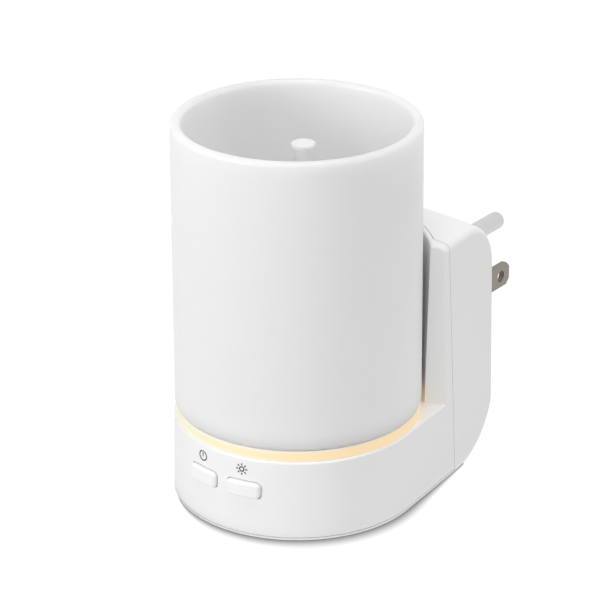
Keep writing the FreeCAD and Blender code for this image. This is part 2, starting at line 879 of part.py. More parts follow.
def plug_insert():
    block = plug_block(0, plug_inner_y).common(envelope())
    tabs = [box(tab_x - tab_width / 2, tab_x + tab_width, plug_inner_y, plug_inner_y + tab_thickness,
                z - tab_height / 2, z + tab_height / 2) for x, z in tab_places()]
    holes = plug_metal(moulded_clearance)
    for x, z in tab_places():
        holes.append(cylinder_y(plug_screw_radius + through_clearance / 2, x, z,
                                plug_inner_y - overrun, plug_inner_y + tab_thickness))
    return without(merged([block] + tabs), holes)


def plug_screws():
    return Part.makeCompound([
        screw_along(vector(x, plug_inner_y, z), rearward, plug_screw_radius, plug_screw_length,
                    plug_screw_head_radius, plug_screw_head)
        for x, z in tab_places()])


def blade(side):
    x = plug_x + side * blade_spacing / 2
    y0 = plug_inner_y - plug_tail
    y1 = rear_y + blade_length
    half = blade_width / 2
    low = blade_z - half
    high = blade_z + half
    outline = [vector(x - blade_thickness / 2, y0, low), vector(x - blade_thickness / 2, y1 - blade_chamfer, low),
               vector(x - blade_thickness / 2, y1, low + blade_chamfer),
               vector(x - blade_thickness / 2, y1, high - blade_chamfer),
               vector(x - blade_thickness / 2, y1 - blade_chamfer, high),
               vector(x - blade_thickness / 2, y0, high)]
    flat = prism(outline, rightward * blade_thickness)
    hole = cylinder_x(blade_hole_radius, rear_y + blade_hole_from_face, blade_z,
                      x - blade_thickness, x + blade_thickness)
    return flat.cut(hole)


def earth_pin():
    end_y = rear_y + pin_length
    root = cylinder_y(pin_root_radius, plug_x, pin_z, plug_inner_y - plug_tail, rear_y)
    shank = cylinder_y(pin_radius, plug_x, pin_z, plug_inner_y, end_y)
    tip = [e for e in shank.Edges if e.CenterOfMass.y > end_y - pin_radius / 2 and e.Length > pin_radius * 4]
    return merged([root, shank.makeFillet(pin_radius * 3 / 4, tip)])


# Leads
def lead(points, radius):
    # A tube along straight runs joined by arcs as large as the runs allow.
    edges = []
    last = points[0]
    for before, corner, after in zip(points, points[1:], points[2:]):
        inward = (corner - before).normalize()
        onward = (after - corner).normalize()
        reach = lead_bend_share * min((corner - before).Length, (after - corner).Length)
        half_turn = inward.getAngle(onward) / 2
        bend = reach / math.tan(half_turn)
        start = corner - inward * reach
        end = corner + onward * reach
        middle = corner + (onward - inward).normalize() * (bend / math.cos(half_turn) - bend)
        edges.append(line(last, start))
        edges.append(Part.Arc(start, middle, end).toShape())
        last = end
    edges.append(line(last, points[-1]))
    path = Part.Wire(edges)
    ring = Part.Wire([Part.makeCircle(radius, points[0], points[1] - points[0])])
    return path.makePipeShell([ring], True, False)


def heater_leads():
    leads = []
    for x, y in heater_lead_places():
        leads.append(lead([vector(x, power_board_front_y, heater_lead_z), vector(x, y, heater_lead_z),
                           vector(x, y, panel_z + insulator_thickness)], lead_radius))
    return Part.makeCompound(leads)


def mains_leads():
    back_y = power_board_front_y + board_thickness
    leads = []
    for side in button_sides:
        x = plug_x + side * blade_spacing / 2
        y = plug_inner_y - plug_tail / 2
        top = vector(x, y, blade_z - blade_width / 2)
        end_x = mains_lead_near_x - (1 + side) * lead_radius * 2
        if side < 0:
            points = [top, vector(x, y, mains_lead_z), vector(x, back_y, mains_lead_z)]
        else:
            points = [top, vector(x, y, mains_lead_z), vector(end_x, y, mains_lead_z),
                      vector(end_x, back_y, mains_lead_z)]
        leads.append(lead(points, lead_radius))
    return Part.makeCompound(leads)


def light_leads():
    leads = []
    for i in range(light_lead_count):
        x = light_lead_x + i * light_lead_spacing
        radius = radius_at(light_board_z, wall) - light_lead_inset
        y = -math.sqrt(radius ** 2 - x ** 2)
        leads.append(lead([vector(x, y, light_board_z), vector(x, y, light_lead_z),
                           vector(x, control_board_front_y, light_lead_z)], light_lead_radius))
    return Part.makeCompound(leads)


def ribbon_cable():
    return box(-ribbon_width / 2, ribbon_width / 2, control_board_front_y + board_thickness,
               power_board_front_y, ribbon_z, ribbon_z + ribbon_thickness)


# Cup and post
def cup():
    r0 = cup_foot_radius
    r1 = cup_rim_radius
    z0 = cup_foot_z
    z1 = cup_rim_z
    floor_z = z0 + cup_floor
    inner = r1 - cup_wall
    slope = (r0 - r1) / (z1 - z0)
    low_z = z0 + cup_foot_edge
    high_z = z1 - cup_rim_edge
    low_r = r0 - slope * cup_foot_edge
    points = [vector(0, 0, z0), vector(low_r - cup_foot_edge, 0, z0), vector(low_r, 0, low_z),
              vector(r1, 0, high_z), vector(r1 - cup_rim_edge, 0, z1), vector(inner + cup_rim_edge, 0, z1),
              vector(inner, 0, high_z), vector(inner, 0, floor_z + cup_floor_corner),
              vector(inner - cup_floor_corner, 0, floor_z), vector(0, 0, floor_z)]
    edges = [line(points[0], points[1]),
             arc(points[1], vector(low_r - cup_foot_edge, 0, low_z), points[2]),
             line(points[2], points[3]),
             arc(points[3], vector(r1 - cup_rim_edge, 0, high_z), points[4]),
             line(points[4], points[5]),
             arc(points[5], vector(inner + cup_rim_edge, 0, high_z), points[6]),
             line(points[6], points[7]),
             arc(points[7], vector(inner - cup_floor_corner, 0, floor_z + cup_floor_corner), points[8]),
             line(points[8], points[9]),
             line(points[9], points[0])]
    boss = cylinder(post_boss_radius, post_x, post_y, floor_z - cup_floor / 2, floor_z + post_boss)
    socket = cylinder(post_radius + post_clearance, post_x, post_y, floor_z + post_boss - post_socket,
                      floor_z + post_boss)
    return merged([revolved(edges), boss]).cut(socket)


def centre_post():
    foot_z = cup_foot_z + cup_floor + post_boss - post_socket
    stem = cylinder(post_radius, post_x, post_y, foot_z, post_top_z - post_head)
    head = cylinder(post_head_radius, post_x, post_y, post_top_z - post_head, post_top_z)
    head = head.makeFillet(post_head_edge, [e for e in head.Edges if e.Length > post_head_radius * 4])
    return merged([stem, head])


parts = {
    "front_body": front_body(),
    "rear_housing": rear_housing(),
    "bottom_cover": bottom_cover(),
    "cover_screws": cover_screws(),
    "housing_screws": housing_screws(),
    "light_ring": light_ring(),
    "light_board": light_board(),
    "leds": leds(),
    "light_board_screws": light_board_screws(),
    "heat_plate": heat_plate(),
    "heater_holder": heater_holder(),
    "heater_insulator": heater_insulator(),
    "heater_element": heater_element(),
    "heater_clamp": heater_clamp(),
    "heater_screws": heater_screws(),
    "thermal_fuse": thermal_fuse(),
    "fuse_clip": fuse_clip(),
    "power_button": button(-1),
    "light_button": button(1),
    "power_plunger": plunger(-1),
    "light_plunger": plunger(1),
    "power_switch": switch(-1),
    "light_switch": switch(1),
    "control_board": control_board(),
    "power_board": power_board(),
    "power_board_screws": power_board_screws(),
    "transformer": transformer(),
    "filter_capacitor": filter_capacitor(),
    "mains_fuse": mains_fuse(),
    "triac": triac(),
    "plug_insert": plug_insert(),
    "plug_screws": plug_screws(),
    "line_blade": blade(1),
    "neutral_blade": blade(-1),
    "earth_pin": earth_pin(),
    "heater_leads": heater_leads(),
    "mains_leads": mains_leads(),
    "light_leads": light_leads(),
    "ribbon_cable": ribbon_cable(),
    "cup": cup(),
    "centre_post": centre_post(),
}

os.makedirs("parts", exist_ok=True)
for name, shape in parts.items():
    solids_of(shape).exportStep("parts/" + name + ".step")
    print(name, len(shape.Solids), "solids, valid", shape.isValid(), "volume", round(shape.Volume, 1))
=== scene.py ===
"""Looks for a plug-in wax melt warmer: finishes for its pieces, printed symbols,
screw heads and a plain studio stage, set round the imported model."""
import math

import bmesh
import bpy
from bpy.props import FloatProperty, FloatVectorProperty, IntProperty, PointerProperty
from mathutils import Matrix, Quaternion, Vector


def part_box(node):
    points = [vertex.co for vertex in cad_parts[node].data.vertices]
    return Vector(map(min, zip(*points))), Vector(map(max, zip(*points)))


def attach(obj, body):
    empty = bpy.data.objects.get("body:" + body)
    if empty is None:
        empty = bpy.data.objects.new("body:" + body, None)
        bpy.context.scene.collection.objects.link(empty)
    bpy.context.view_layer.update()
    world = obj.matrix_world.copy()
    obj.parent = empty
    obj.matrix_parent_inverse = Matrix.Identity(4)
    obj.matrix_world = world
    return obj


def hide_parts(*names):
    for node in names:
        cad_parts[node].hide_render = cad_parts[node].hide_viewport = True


bl_info = {
    "name": "Wax Melt Warmer",
    "version": (1, 0, 0),
    "blender": (4, 5, 0),
    "location": "View3D > Sidebar > Warmer",
    "description": "Finishes and small pieces for a plug-in wax melt warmer",
    "category": "Object",
}

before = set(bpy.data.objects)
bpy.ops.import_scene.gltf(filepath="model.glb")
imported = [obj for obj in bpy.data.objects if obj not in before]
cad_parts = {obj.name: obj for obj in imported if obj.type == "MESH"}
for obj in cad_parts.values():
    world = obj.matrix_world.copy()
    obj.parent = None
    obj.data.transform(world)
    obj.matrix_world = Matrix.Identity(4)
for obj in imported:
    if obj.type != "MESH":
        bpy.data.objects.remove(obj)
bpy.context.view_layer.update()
MM = 0.001
HOUSING = "housing"

# The front wall that the symbols are printed on
BASE_RADIUS = 32.6 * MM
BASE_DRAFT = math.tan(math.radians(1.15))

# The printed symbols: half the opening in the power ring, and the steps along each stroke
POWER_GAP = math.radians(20)
POWER_RING_STEPS, SUN_RING_STEPS, BAR_STEPS = 36, 28, 4

# The screws that show, in the bottom cover and in the housing
COVER_SCREW_CIRCLE = 27.4 * MM
COVER_SCREW_ANGLE = math.radians(60)
COVER_SCREW_HEAD_RADIUS, COVER_SCREW_HEAD_HEIGHT = 2.1 * MM, 1.2 * MM
COVER_SCREW_SHANK_RADIUS = 1.1 * MM
HOUSING_SCREW_HEAD_RADIUS, HOUSING_SCREW_HEAD_HEIGHT = 2.3 * MM, 1.6 * MM
HOUSING_SCREW_SHANK_RADIUS = 1.2 * MM

# A head's flat top as a share of its radius, the steps of its dome as shares of its radius and
# height, and the recess's bottom as a share of its top
HEAD_SEGMENTS = 40
HEAD_FLAT_SHARE = 0.82
HEAD_DOME_SHARES = ((0.94, 0.06), (1.0, 0.25), (1.0, 1.0))
RECESS_BOTTOM_SHARE = 0.75

# The middle of the cup's rim and its edge on the hollow side, counted in from its widest: the
# painted light inside the cup starts at the middle and is full at that edge
CUP_RIM_MIDDLE, CUP_RIM_INSIDE = 1.6 * MM, 2.2 * MM

# How far light runs inside the cup's and the post's walls, and how much of it does
CUP_REACH, CUP_WEIGHT = 10 * MM, 1.0
POST_REACH, POST_WEIGHT = 6 * MM, 0.8

# Where a speck, a groove or a pad starts and where it is full, as the texture's own value
SPECK_EDGE, SPECK_MIDDLE = 0.12, 0.03
GROOVE_EDGE = 0.3
PAD_EDGE, PAD_MIDDLE = 0.16, 0.12

# Strengths of the two bumps, the turns that take X across a surface's bands, and the stretch of
# the grain on metal that is drawn along Y
GRAIN_BUMP, BAND_BUMP = 0.35, 0.5
ACROSS_X, ACROSS_Y, ACROSS_Z = (0, 0, 0), (0, 0, math.pi / 2), (0, math.pi / 2, 0)
DRAWN = (1, 0.15, 1)

# The boards' lacquer, bare and over a track, their tinned pads and the tracks in a metre
LACQUER, LACQUER_OVER_TRACK = (0.008, 0.075, 0.03), (0.03, 0.17, 0.07)
TINNED = (0.55, 0.55, 0.52)
TRACK_SCALE = 260.0

# The light chips' yellow windows
CHIP_WINDOW = 0.05 * MM
CHIP_YELLOW = (0.85, 0.6, 0.12)

# The floor: its size in metres, its colour as the object sees it and as the eye sees it, and how
# its openness turns into the brightness that the eye sees
FLOOR_RADIUS, FLOOR_SEGMENTS = 6.0, 64
PALE_FLOOR, SOFT_FLOOR = (0.7, 0.7, 0.7, 1), (0.08, 0.08, 0.08, 1)
COVERED, OPEN = 0.48, 0.95
SHADOW_LEVEL, FLOOR_LEVEL = 0.06, 0.96
OPENNESS_SAMPLES = 16

# The sky: where its dim side starts and where it is full, and its colour
DIM_START, DIM_FULL = 0.1, 0.9
WHITE = (1, 1, 1, 1)

# The lamps, in metres from the point that the camera looks at, and their width
KEY_FORWARD, KEY_LEFT, KEY_UP, KEY_WIDTH = 0.35, 0.72, 0.22, 0.3
TOP_FORWARD, TOP_UP, TOP_WIDTH = 0.15, 0.8, 0.5


# Settings
class SymbolSettings(bpy.types.PropertyGroup):
    power_ring: FloatProperty(
        name="Power ring", description="Radius of the power symbol's ring",
        default=1.3 * MM, unit="LENGTH")
    power_bar: FloatProperty(
        name="Power bar", description="Length of the power symbol's bar",
        default=1.75 * MM, unit="LENGTH")
    sun_ring: FloatProperty(
        name="Sun ring", description="Radius of the light symbol's ring",
        default=0.6 * MM, unit="LENGTH")
    ray_start: FloatProperty(
        name="Ray start", description="Where the light symbol's rays start, from its centre",
        default=1.02 * MM, unit="LENGTH")
    ray_end: FloatProperty(
        name="Ray end", description="Where the light symbol's rays end, from its centre",
        default=1.55 * MM, unit="LENGTH")
    stroke: FloatProperty(
        name="Stroke", description="Width of a printed line", default=0.35 * MM, unit="LENGTH")
    print_height: FloatProperty(
        name="Print height", description="How far the ink stands proud",
        default=0.02 * MM, unit="LENGTH")
    level: FloatProperty(
        name="Level", description="Height of the symbols' centres above the underside",
        default=18.35 * MM, unit="LENGTH")
    power_place: FloatProperty(
        name="Power place", description="Sideways place of the power symbol",
        default=-6.6 * MM, unit="LENGTH")
    light_place: FloatProperty(
        name="Light place", description="Sideways place of the light symbol",
        default=5.8 * MM, unit="LENGTH")
    rays: IntProperty(name="Rays", description="Rays round the light symbol", default=8, min=3)


class ScrewSettings(bpy.types.PropertyGroup):
    recess_length: FloatProperty(
        name="Recess length", description="Length of the cross recess as a share of the head",
        default=0.62, subtype="FACTOR", min=0.1, max=0.9)
    recess_width: FloatProperty(
        name="Recess width", description="Width of the cross recess",
        default=0.7 * MM, unit="LENGTH")
    recess_depth: FloatProperty(
        name="Recess depth", description="Depth of the cross recess",
        default=0.7 * MM, unit="LENGTH")


class FinishSettings(bpy.types.PropertyGroup):
    shell: FloatVectorProperty(
        name="Housing", description="Colour of the moulded housing",
        default=(0.9, 0.9, 0.897), subtype="COLOR")
    cup: FloatVectorProperty(
        name="Cup", description="Colour of the cup's outside",
        default=(0.93, 0.93, 0.927), subtype="COLOR")
    # The cup's inside is painted lighter than its outside: painted light that makes up for the
    # shade inside the deep cup
    cup_inside_painted_light: FloatVectorProperty(
        name="Cup inside", description="Colour of the cup's inside",
        default=(0.98, 0.98, 0.977), subtype="COLOR")
    post: FloatVectorProperty(
        name="Post", description="Colour of the post in the cup",
        default=(0.96, 0.96, 0.958), subtype="COLOR")
    button: FloatVectorProperty(
        name="Buttons", description="Colour of the two push buttons",
        default=(0.93, 0.93, 0.925), subtype="COLOR")
    ink: FloatVectorProperty(
        name="Ink", description="Colour of the printed symbols",
        default=(0.055, 0.055, 0.06), subtype="COLOR")
    # The ring's colour at its two ends: painted light, paler and yellower at the left where the
    # front lamp falls, warmer at the right
    painted_light_tint_left: FloatVectorProperty(
        name="Ring, left", description="Colour of the ring at its left",
        default=(0.68, 0.66, 0.44), subtype="COLOR")
    painted_light_tint_right: FloatVectorProperty(
        name="Ring, right", description="Colour of the ring at its right",
        default=(0.9, 0.69, 0.43), subtype="COLOR")
    # The paler colour that the ring fades to at its top and bottom edges: painted light and shade
    # at the lit band's edges
    painted_edge_tint: FloatVectorProperty(
        name="Ring edge", description="Colour of the ring at its edges",
        default=(0.9, 0.88, 0.82), subtype="COLOR")
    # The ring's glow at its two ends: painted light, yellower at the left where the front lamp
    # falls, warmer at the right
    painted_light_glow_left: FloatVectorProperty(
        name="Glow, left", description="Light of the ring at its left",
        default=(1.0, 0.92, 0.5), subtype="COLOR")
    painted_light_glow_right: FloatVectorProperty(
        name="Glow, right", description="Light of the ring at its right",
        default=(1.0, 0.76, 0.42), subtype="COLOR")
    # The dimmer glow at the ring's top and bottom edges: painted shade that softens the lit band's
    # edges
    painted_edge_glow: FloatVectorProperty(
        name="Glow edge", description="Light of the ring at its edges",
        default=(0.25, 0.24, 0.21), subtype="COLOR")
    glow_strength: FloatProperty(
        name="Glow strength", description="Brightness of the lit ring", default=0.25, min=0)
    # Heights over which the painted light and shade at the ring's edges fade, wider at the left
    painted_fade_left: FloatProperty(
        name="Soft edge, left", description="Height over which the glow fades at the left",
        default=1.6 * MM, unit="LENGTH")
    painted_fade_right: FloatProperty(
        name="Soft edge, right", description="Height over which the glow fades at the right",
        default=0.4 * MM, unit="LENGTH")
    ring_shown: FloatProperty(
        name="Ring shown", description="Height of the ring that shows between cup and base",
        default=3.0 * MM, unit="LENGTH")


class StageSettings(bpy.types.PropertyGroup):
    azimuth: FloatProperty(
        name="Azimuth", description="Direction that the camera looks in",
        default=math.radians(36.5), subtype="ANGLE")
    elevation: FloatProperty(
        name="Elevation", description="How steeply the camera looks down",
        default=math.radians(23.91), subtype="ANGLE")
    roll: FloatProperty(
        name="Roll", description="Turn of the camera about its own axis",
        default=math.radians(-0.292), subtype="ANGLE")
    distance: FloatProperty(
        name="Distance", description="Camera to the point it looks at",
        default=659.6 * MM, unit="LENGTH")
    target: FloatVectorProperty(
        name="Target", description="Point that the camera looks at",
        default=(0.47 * MM, 0.34 * MM, 51.62 * MM), subtype="TRANSLATION")
    lens: FloatProperty(
        name="Lens", description="Focal length in millimetres", default=155.3, unit="CAMERA")
    sky: FloatProperty(
        name="Sky", description="Even light from all round", default=0.73, min=0)
    dim_turn: FloatProperty(
        name="Dim side", description="Turn of the sky's dim side behind the object's left",
        default=math.radians(10), subtype="ANGLE")
    dim_share: FloatProperty(
        name="Dim share", description="Light of the sky's dim side as a share of the rest",
        default=0.0, subtype="FACTOR", min=0, max=1)
    shadow_front: FloatProperty(
        name="Shadow, front", description="Reach of the contact shadow before the object",
        default=6.0 * MM, unit="LENGTH")
    shadow_side: FloatProperty(
        name="Shadow, side", description="Reach of the contact shadow beside the object",
        default=0.02 * MM, unit="LENGTH")
    shadow_turn: FloatProperty(
        name="Shadow turn", description="Turn of the shadow's widest side to the right",
        default=math.radians(16), subtype="ANGLE")
    floor_gap: FloatProperty(
        name="Floor gap", description="Room between the floor and the underside",
        default=0.05 * MM, unit="LENGTH")
    underside_reach: FloatProperty(
        name="Underside reach", description="How near the floor a surface is lit through it",
        default=4.0 * MM, unit="LENGTH")
    key: FloatProperty(
        name="Key light", description="Power of the front light", default=2.85, min=0,
        unit="POWER")
    top: FloatProperty(
        name="Top light", description="Power of the top light", default=2.4, min=0, unit="POWER")


# Small helpers for meshes
def made_object(name, bm, material):
    """Turns a bmesh into an object with one material."""
    mesh = bpy.data.meshes.new(name)
    bm.to_mesh(mesh)
    bm.free()
    mesh.materials.append(material)
    made = bpy.data.objects.new(name, mesh)
    bpy.context.scene.collection.objects.link(made)
    return made


def piece(name, bm, material, body=HOUSING):
    """Turns a bmesh into a finished piece that rides on a body."""
    bmesh.ops.recalc_face_normals(bm, faces=bm.faces)
    made = made_object(name, bm, material)
    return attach(made, body)


def flat_arc(bm, radius, stroke, start, sweep, steps):
    """A strip of a ring in the XZ plane, from an angle counted from +Z."""
    ends = []
    for r in (radius - stroke / 2, radius + stroke / 2):
        ends.append(bm.verts.new((r * math.sin(start), 0, r * math.cos(start))))
    edge = bm.edges.new(ends)
    bmesh.ops.spin(bm, geom=ends + [edge], cent=(0, 0, 0), axis=(0, 1, 0), angle=sweep,
                   steps=steps, use_merge=abs(sweep) >= 2 * math.pi)


def flat_bar(bm, length, stroke, middle, angle):
    """A straight stroke in the XZ plane, lengthwise along its angle from +Z."""
    place = (Matrix.Rotation(angle, 4, "Y") @ Matrix.Translation((0, 0, middle))
             @ Matrix.Diagonal((stroke / 2, 1, length / 2, 1))
             @ Matrix.Rotation(math.pi / 2, 4, "X"))
    bmesh.ops.create_grid(bm, x_segments=1, y_segments=BAR_STEPS, size=1, matrix=place)


def wrapped_print(bm, centre_x, centre_z, proud):
    """Gives flat strokes a thickness and lays them on the round front wall."""
    faces = bm.faces[:]
    grown = bmesh.ops.extrude_face_region(bm, geom=faces)
    top = {v for v in grown["geom"] if isinstance(v, bmesh.types.BMVert)}
    angle = math.asin(centre_x / (BASE_RADIUS - BASE_DRAFT * centre_z))
    for v in bm.verts:
        height = centre_z + v.co.z
        radius = BASE_RADIUS - BASE_DRAFT * height + (proud if v in top else -proud)
        turn = angle + v.co.x / radius
        v.co = Vector((radius * math.sin(turn), -radius * math.cos(turn), height))


def cross_screw(radius, height, shank_radius, shank_length, settings):
    """A screw with a domed head and a cross recess. The head's face is at the origin and looks
    along +Z."""
    bm = bmesh.new()
    half = settings.recess_width / 2
    reach = radius * settings.recess_length
    corners = []
    for i in range(4):
        turn = Matrix.Rotation(i * math.pi / 2, 3, "Z")
        arm = ((reach, -half, 0), (reach, half, 0), (half, half, 0))
        corners += [bm.verts.new(turn @ Vector(p)) for p in arm]
    cross = [bm.edges.new((corners[i], corners[(i + 1) % len(corners)]))
             for i in range(len(corners))]
    rim = bmesh.ops.create_circle(bm, cap_ends=False, radius=radius * HEAD_FLAT_SHARE,
                                  segments=HEAD_SEGMENTS)["verts"]
    ring = list({e for v in rim for e in v.link_edges})
    bmesh.ops.triangle_fill(bm, use_beauty=True, use_dissolve=False, edges=cross + ring,
                            normal=(0, 0, 1))
    inside = [f for f in bm.faces if all(v in corners for v in f.verts)]
    bmesh.ops.delete(bm, geom=inside, context="FACES_ONLY")
    wall = bmesh.ops.extrude_edge_only(bm, edges=cross)["geom"]
    low = [v for v in wall if isinstance(v, bmesh.types.BMVert)]
    bmesh.ops.translate(bm, verts=low, vec=(0, 0, -settings.recess_depth))
    bmesh.ops.scale(bm, verts=low, vec=(RECESS_BOTTOM_SHARE, RECESS_BOTTOM_SHARE, 1))
    bmesh.ops.contextual_create(bm, geom=[e for e in wall if isinstance(e, bmesh.types.BMEdge)])
    steps = [(radius * across, -down * height) for across, down in HEAD_DOME_SHARES]
    steps += [(shank_radius, -height), (shank_radius, -height - shank_length)]
    loop = ring
    for r, z in steps:
        made = bmesh.ops.extrude_edge_only(bm, edges=loop)["geom"]
        verts = [v for v in made if isinstance(v, bmesh.types.BMVert)]
        loop = [e for e in made if isinstance(e, bmesh.types.BMEdge)]
        for v in verts:
            flat = Vector((v.co.x, v.co.y, 0)).normalized() * r
            v.co = Vector((flat.x, flat.y, z))
    bmesh.ops.contextual_create(bm, geom=loop)
    return bm


def joined(parts):
    """One bmesh from several, each with its place."""
    whole = bmesh.new()
    for bm, place in parts:
        bmesh.ops.transform(bm, matrix=place, verts=bm.verts)
        mesh = bpy.data.meshes.new("part")
        bm.to_mesh(mesh)
        bm.free()
        whole.from_mesh(mesh)
        bpy.data.meshes.remove(mesh)
    return whole


# Small helpers for materials. A colour mix node's own sockets, by their places.
COLOR_A, COLOR_B, COLOR_RESULT = 6, 7, 2


def node(tree, kind, **values):
    """Adds a node and sets its properties, or its inputs by name."""
    made = tree.nodes.new(kind)
    for key, value in values.items():
        if hasattr(made, key):
            setattr(made, key, value)
        else:
            made.inputs[key.replace("_", " ")].default_value = value
    return made


def link(tree, source, output, target, socket):
    """Joins an output of one node to an input of another."""
    tree.links.new(source.outputs[output], target.inputs[socket])


def ranged(tree, source, output, low, high, to_low=0.0, to_high=1.0, **values):
    """Maps a value from one range to another and holds it at the ends."""
    made = node(tree, "ShaderNodeMapRange", From_Min=low, From_Max=high, To_Min=to_low,
                To_Max=to_high, **values)
    link(tree, source, output, made, "Value")
    return made


def along(tree, source, output, direction):
    """How far a vector reaches in a direction."""
    made = node(tree, "ShaderNodeVectorMath", operation="DOT_PRODUCT")
    made.inputs[1].default_value = direction
    link(tree, source, output, made, 0)
    return made


def upright_radius(tree, place):
    """How far a point lies from the upright axis."""
    flat = node(tree, "ShaderNodeVectorMath", operation="MULTIPLY")
    flat.inputs[1].default_value = (1, 1, 0)
    link(tree, place, "Object", flat, 0)
    made = node(tree, "ShaderNodeVectorMath", operation="LENGTH")
    link(tree, flat, "Vector", made, 0)
    return made


def blend(tree, first, second):
    """A colour mix of two plain colours. Its factor is still free."""
    made = node(tree, "ShaderNodeMix", data_type="RGBA")
    made.inputs[COLOR_A].default_value = (*first, 1)
    made.inputs[COLOR_B].default_value = (*second, 1)
    return made


def darker(tree, tint, source, output, share):
    """Darkens a colour to a share of itself where a mask says so."""
    made = node(tree, "ShaderNodeMix", data_type="RGBA", blend_type="MULTIPLY")
    made.inputs[COLOR_B].default_value = (share, share, share, 1)
    link(tree, source, output, made, "Factor")
    link(tree, tint, COLOR_RESULT, made, COLOR_A)
    return made


def lay_over(tree, source, output, color):
    """Lays another colour over a finish where a mask says so."""
    shader = tree.nodes["Principled BSDF"]
    below = shader.inputs["Base Color"].links[0].from_node
    made = blend(tree, color, color)
    link(tree, below, COLOR_RESULT, made, COLOR_A)
    link(tree, source, output, made, "Factor")
    link(tree, made, COLOR_RESULT, shader, "Base Color")


def new_group(name, inputs, outputs):
    """An empty node group with its sockets, its input node and its output node."""
    group = bpy.data.node_groups.new(name, "ShaderNodeTree")
    for label in inputs:
        kind = "NodeSocketVector" if label == "Vector" else "NodeSocketFloat"
        group.interface.new_socket(name=label, in_out="INPUT", socket_type=kind)
    for label in outputs:
        group.interface.new_socket(name=label, in_out="OUTPUT", socket_type="NodeSocketFloat")
    return group, group.nodes.new("NodeGroupInput"), group.nodes.new("NodeGroupOutput")


def grain_group():
    """Fine grain and slow mottling over a surface, with a scatter of specks, for every finish."""
    name = "fine grain"
    if name in bpy.data.node_groups:
        return bpy.data.node_groups[name]
    group, into, out = new_group(name, ("Vector", "Grain Scale", "Mottle Scale"),
                                 ("Height", "Mottle", "Specks"))
    grain = node(group, "ShaderNodeTexNoise", Detail=3.0, Roughness=0.6)
    mottle = node(group, "ShaderNodeTexNoise", Detail=2.0, Roughness=0.5)
    cells = node(group, "ShaderNodeTexVoronoi", Randomness=1.0)
    for texture, scale in ((grain, "Grain Scale"), (mottle, "Mottle Scale"),
                           (cells, "Mottle Scale")):
        link(group, into, "Vector", texture, "Vector")
        link(group, into, scale, texture, "Scale")
    specks = ranged(group, cells, "Distance", SPECK_EDGE, SPECK_MIDDLE)
    link(group, grain, "Fac", out, "Height")
    link(group, mottle, "Fac", out, "Mottle")
    link(group, specks, "Result", out, "Specks")
    return group


def bands_group():
    """Even bands across X, for turned, wound, brushed and ribbed surfaces."""
    name = "even bands"
    if name in bpy.data.node_groups:
        return bpy.data.node_groups[name]
    group, into, out = new_group(name, ("Vector", "Band Scale"), ("Height", "Grooves"))
    wave = node(group, "ShaderNodeTexWave", wave_type="BANDS", bands_direction="X")
    link(group, into, "Vector", wave, "Vector")
    link(group, into, "Band Scale", wave, "Scale")
    grooves = ranged(group, wave, "Fac", GROOVE_EDGE, 0)
    link(group, wave, "Fac", out, "Height")
    link(group, grooves, "Result", out, "Grooves")
    return group


def traces_group():
    """Printed tracks on a circuit board, seen through its lacquer, and its pads."""
    name = "board tracks"
    if name in bpy.data.node_groups:
        return bpy.data.node_groups[name]
    group, into, out = new_group(name, ("Vector", "Track Scale"), ("Tracks", "Pads"))
    rows = node(group, "ShaderNodeTexBrick", offset=0.37, squash=1.6, Mortar_Size=0.05,
                Mortar_Smooth=0.1)
    dots = node(group, "ShaderNodeTexVoronoi", Randomness=0.6)
    for texture in (rows, dots):
        link(group, into, "Vector", texture, "Vector")
        link(group, into, "Track Scale", texture, "Scale")
    pads = ranged(group, dots, "Distance", PAD_EDGE, PAD_MIDDLE)
    link(group, rows, "Fac", out, "Tracks")
    link(group, pads, "Result", out, "Pads")
    return group


def finish(name, color, roughness, metallic=0.0, grain=1800.0, mottle=45.0, depth=0.004,
           shade=0.03, rough_spread=0.08, stretch=(1, 1, 1), specks=0.0, bands=0.0, groove=0.0,
           painted_groove_shade=0.0, across=None):
    """A finish with slow changes of colour and gloss, a fine grain and a few specks. Scales and
    bands are counted per metre, and the depths of grain and groove are in millimetres. across is
    the turn that takes X across the bands, or None for rings round the upright axis. The bands'
    grooves are painted darker: painted shade in them."""
    if name in bpy.data.materials:
        return bpy.data.materials[name]
    made = bpy.data.materials.new(name)
    made.use_nodes = True
    tree = made.node_tree
    shader = tree.nodes["Principled BSDF"]
    shader.inputs["Metallic"].default_value = metallic
    place = node(tree, "ShaderNodeTexCoord")
    mapping = node(tree, "ShaderNodeMapping", Scale=stretch)
    link(tree, place, "Object", mapping, "Vector")
    texture = node(tree, "ShaderNodeGroup", node_tree=grain_group(), Grain_Scale=grain,
                   Mottle_Scale=mottle)
    link(tree, mapping, "Vector", texture, "Vector")
    dark, light = [c * (1 - shade) for c in color], [min(c * (1 + shade / 2), 1) for c in color]
    tint = blend(tree, dark, light)
    link(tree, texture, "Mottle", tint, "Factor")
    tint = darker(tree, tint, texture, "Specks", 1 - specks)
    gloss = ranged(tree, texture, "Mottle", 0, 1, roughness - rough_spread / 2,
                   roughness + rough_spread / 2)
    link(tree, gloss, "Result", shader, "Roughness")
    bump = node(tree, "ShaderNodeBump", Strength=GRAIN_BUMP, Distance=depth * MM)
    link(tree, texture, "Height", bump, "Height")
    if bands:
        rows = node(tree, "ShaderNodeGroup", node_tree=bands_group(), Band_Scale=bands)
        if across is None:
            turned = node(tree, "ShaderNodeCombineXYZ")
            link(tree, upright_radius(tree, place), "Value", turned, "X")
        else:
            turned = node(tree, "ShaderNodeMapping", Rotation=across)
            link(tree, place, "Object", turned, "Vector")
        link(tree, turned, "Vector", rows, "Vector")
        # Painted shade: the grooves are darkened in colour
        tint = darker(tree, tint, rows, "Grooves", 1 - painted_groove_shade)
        ridges = node(tree, "ShaderNodeBump", Strength=BAND_BUMP, Distance=groove * MM)
        link(tree, rows, "Height", ridges, "Height")
        link(tree, bump, "Normal", ridges, "Normal")
        bump = ridges
    link(tree, tint, COLOR_RESULT, shader, "Base Color")
    link(tree, bump, "Normal", shader, "Normal")
    return made


